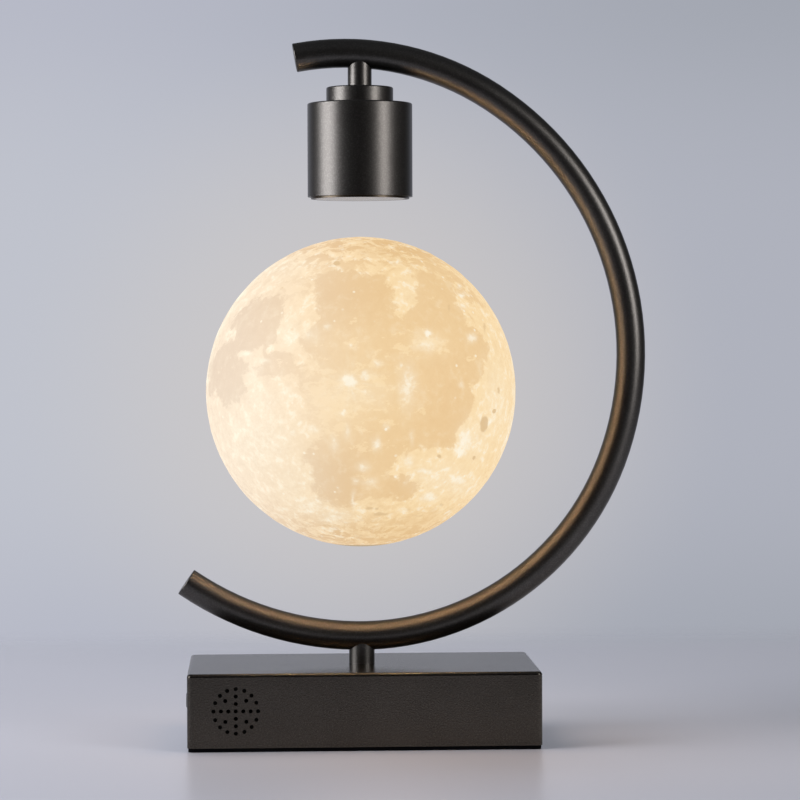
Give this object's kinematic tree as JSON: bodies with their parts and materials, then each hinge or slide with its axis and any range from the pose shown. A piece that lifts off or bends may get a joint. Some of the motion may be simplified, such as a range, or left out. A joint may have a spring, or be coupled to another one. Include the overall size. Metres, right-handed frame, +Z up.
{
  "type": "levitating moon lamp",
  "caption": "Table lamp with a lit, cratered moon that floats and turns below a magnet head on a C-shaped tube arm, on a box base with a speaker grille and a side button.",
  "frame": {"origin": "on the table under the axis of the two posts, at the middle of the base", "axes": "+Z up, the front with the speaker grille towards -Y, the closed side of the arm towards +X"},
  "size_m": [0.2276, 0.15, 0.3395],
  "materials": {
    "bronze_coat": "dark bronze satin coat with a fine grain",
    "bronze_metal": "brown bronze satin",
    "black_foam": "matt black foam rubber",
    "black_plastic": "black satin plastic",
    "cable_jacket": "black cable jacket",
    "pale_plastic": "pale satin plastic",
    "zinc_steel": "bright zinc",
    "soft_iron": "turned iron",
    "ferrite": "dark ferrite",
    "speaker_steel": "grey pressed steel",
    "speaker_paper": "black paper",
    "brass": "turned brass",
    "copper_wire": "enamelled copper wire",
    "circuit_board": "green board",
    "white_board": "white board",
    "light": "yellow lens of a warm white light",
    "nickel": "nickel plate",
    "moon_plastic": "printed warm white plastic, lit from inside"
  },
  "bodies": {
    "stand": {"base_housing": "bronze_coat", "arm_tube": "bronze_coat", "lower_end_plug": "bronze_coat", "upper_end_plug": "bronze_coat", "lower_post": "bronze_coat", "upper_post": "bronze_coat", "head_collar": "bronze_coat", "head_shell": "bronze_coat", "head_ring": "bronze_metal", "foot_pad": "black_foam", "speaker_gasket": "black_foam", "button_switch": "black_plastic", "power_inlet": "black_plastic", "board_components": "black_plastic", "hall_sensor": "black_plastic", "arm_cable": "cable_jacket", "head_cover": "pale_plastic", "head_connector": "pale_plastic", "coil_bobbin": "pale_plastic", "base_plate": "zinc_steel", "base_screws": "zinc_steel", "button_screws": "zinc_steel", "board_screws": "zinc_steel", "post_nipples": "zinc_steel", "post_washers": "zinc_steel", "post_nuts": "zinc_steel", "core_plate": "zinc_steel", "ballast_plate": "zinc_steel", "iron_core": "soft_iron", "speaker_magnet": "ferrite", "speaker_frame": "speaker_steel", "speaker_cone": "speaker_paper", "board_standoffs": "brass", "coil_winding": "copper_wire", "transmit_coil": "copper_wire", "control_board": "circuit_board", "button_board": "circuit_board", "sensor_board": "circuit_board"},
    "moon": {"moon_shell": "moon_plastic", "moon_plug": "moon_plastic", "magnet_holder": "pale_plastic", "moon_magnet": "nickel", "receive_coil": "copper_wire", "led_board": "white_board", "leds": "light"},
    "button": {"power_button": "black_plastic", "switch_plunger": "pale_plastic"}
  },
  "joints": [
    {"name": "moon_spin", "type": "hinge", "parent": "stand", "child": "moon", "pos_m": [0, 0, 0.16865], "axis": [0, 0, 1], "continuous": true},
    {"name": "button_press", "type": "slide", "parent": "stand", "child": "button", "axis": [1, 0, 0], "range_m": [0, 0.0005], "stiffness_N_per_m": 2000, "springref_m": -0.0004}
  ]
}
